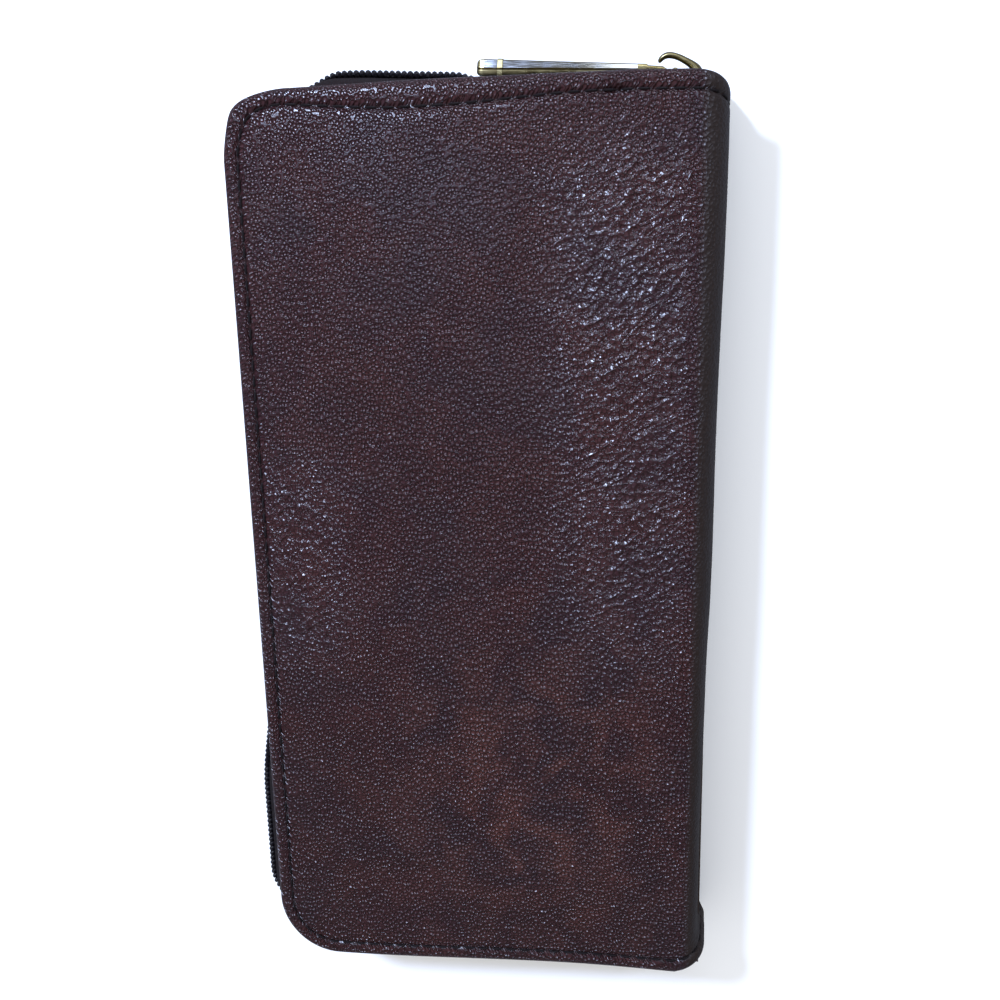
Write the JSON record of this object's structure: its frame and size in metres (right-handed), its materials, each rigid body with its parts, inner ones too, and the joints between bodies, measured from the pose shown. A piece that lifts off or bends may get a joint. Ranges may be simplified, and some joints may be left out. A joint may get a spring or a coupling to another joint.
{
  "type": "zip around wallet",
  "caption": "Long zip around wallet with stiffened leather covers, a soft spine, a hooked slider with a bar puller, card leaves and a zipped coin pocket.",
  "frame": {"origin": "middle of the back cover's outer face, on the surface the closed wallet lies on", "axes": "+Z through the thickness to the front cover, +Y along the spine to the end where the slider stands when shut, +X from the zip edge to the spine"},
  "size_m": [0.1031, 0.2024, 0.024],
  "materials": {
    "cover_leather": "pebble grain, semi-gloss coated leather",
    "spine_leather": "smoother coated leather",
    "board": "plain grey-brown board",
    "lining": "fine woven lining",
    "thread": "waxed thread",
    "zip_tape": "woven tape",
    "zip_coil": "nylon coil",
    "antique_brass": "antique brass, worn bright on edges",
    "inner_leather": "thin coated leather",
    "inner_fabric": "woven lining over thin card"
  },
  "bodies": {
    "back_cover": {"back_leather": "cover_leather", "back_board": "board", "back_lining": "lining", "back_seam": "thread", "back_fold": "cover_leather", "back_zip_tape": "zip_tape", "back_coil_top": "zip_coil", "back_coil_side": "zip_coil", "back_zip_stops": "antique_brass", "back_panel_rails": "inner_leather", "back_card_panel": "inner_fabric", "back_card_seams": "inner_leather", "back_card_leaf_1": "inner_leather", "back_card_leaf_2": "inner_leather", "back_card_leaf_3": "inner_leather", "back_card_leaf_4": "inner_leather", "back_gusset_top": "inner_fabric", "back_gusset_bottom": "inner_fabric"},
    "spine": {"spine_leather": "spine_leather", "spine_board": "board", "spine_lining": "lining", "spine_seam": "thread", "spine_tab_top": "spine_leather", "spine_tab_bottom": "spine_leather", "coin_wall_back": "inner_fabric", "coin_wall_front": "inner_fabric", "coin_seams": "inner_leather", "coin_tape_back": "zip_tape", "coin_tape_front": "zip_tape", "coin_coil_back": "zip_coil", "coin_coil_front": "zip_coil", "coin_stops": "antique_brass"},
    "front_cover": {"front_leather": "cover_leather", "front_board": "board", "front_lining": "lining", "front_seam": "thread", "front_fold": "cover_leather", "front_zip_tape": "zip_tape", "front_coil_top": "zip_coil", "front_coil_side": "zip_coil", "front_zip_stops": "antique_brass", "front_panel_rails": "inner_leather", "front_card_panel": "inner_fabric", "front_card_seams": "inner_leather", "front_card_leaf_1": "inner_leather", "front_card_leaf_2": "inner_leather", "front_card_leaf_3": "inner_leather", "front_card_leaf_4": "inner_leather", "front_gusset_top": "inner_fabric", "front_gusset_bottom": "inner_fabric"},
    "slider": {"slider_body": "antique_brass", "slider_hook": "antique_brass"},
    "puller": {"puller": "antique_brass"},
    "coin_slider": {"coin_slider_body": "antique_brass", "coin_slider_loop": "antique_brass"},
    "coin_puller": {"coin_puller": "antique_brass"}
  },
  "joints": [
    {"name": "spine_lean", "type": "hinge", "parent": "back_cover", "child": "spine", "pos_m": [0.0465, 0, 0.0035], "axis": [0, 1, 0], "range_deg": [0, 30], "deforming": ["back_fold", "back_gusset_top", "back_gusset_bottom"]},
    {"name": "cover_open", "type": "hinge", "parent": "spine", "child": "front_cover", "pos_m": [0.0465, 0, 0.0205], "axis": [0, 1, 0], "range_deg": [0, 30], "deforming": ["front_fold", "front_gusset_top", "front_gusset_bottom"]},
    {"name": "slider_travel", "type": "slide", "parent": "back_cover", "child": "slider", "axis": [-0.9981, 0.061, 0], "range_m": [0, 0.07], "deforming": ["back_coil_top", "front_coil_top"]},
    {"name": "puller_swing", "type": "hinge", "parent": "slider", "child": "puller", "pos_m": [0.03953, 0.0989, 0.012], "axis": [0, 0, -1], "range_deg": [0, 160]},
    {"name": "coin_slider_travel", "type": "slide", "parent": "spine", "child": "coin_slider", "axis": [0, -1, 0], "range_m": [0, 0.135], "deforming": ["coin_coil_back", "coin_coil_front"]},
    {"name": "coin_puller_swing", "type": "hinge", "parent": "coin_slider", "child": "coin_puller", "pos_m": [-0.02365, 0.0815, 0.012], "axis": [0, 0, -1], "range_deg": [0, 160]}
  ],
  "couplings": [
    {"joint": "cover_open", "follows": "spine_lean", "ratio": 1}
  ]
}
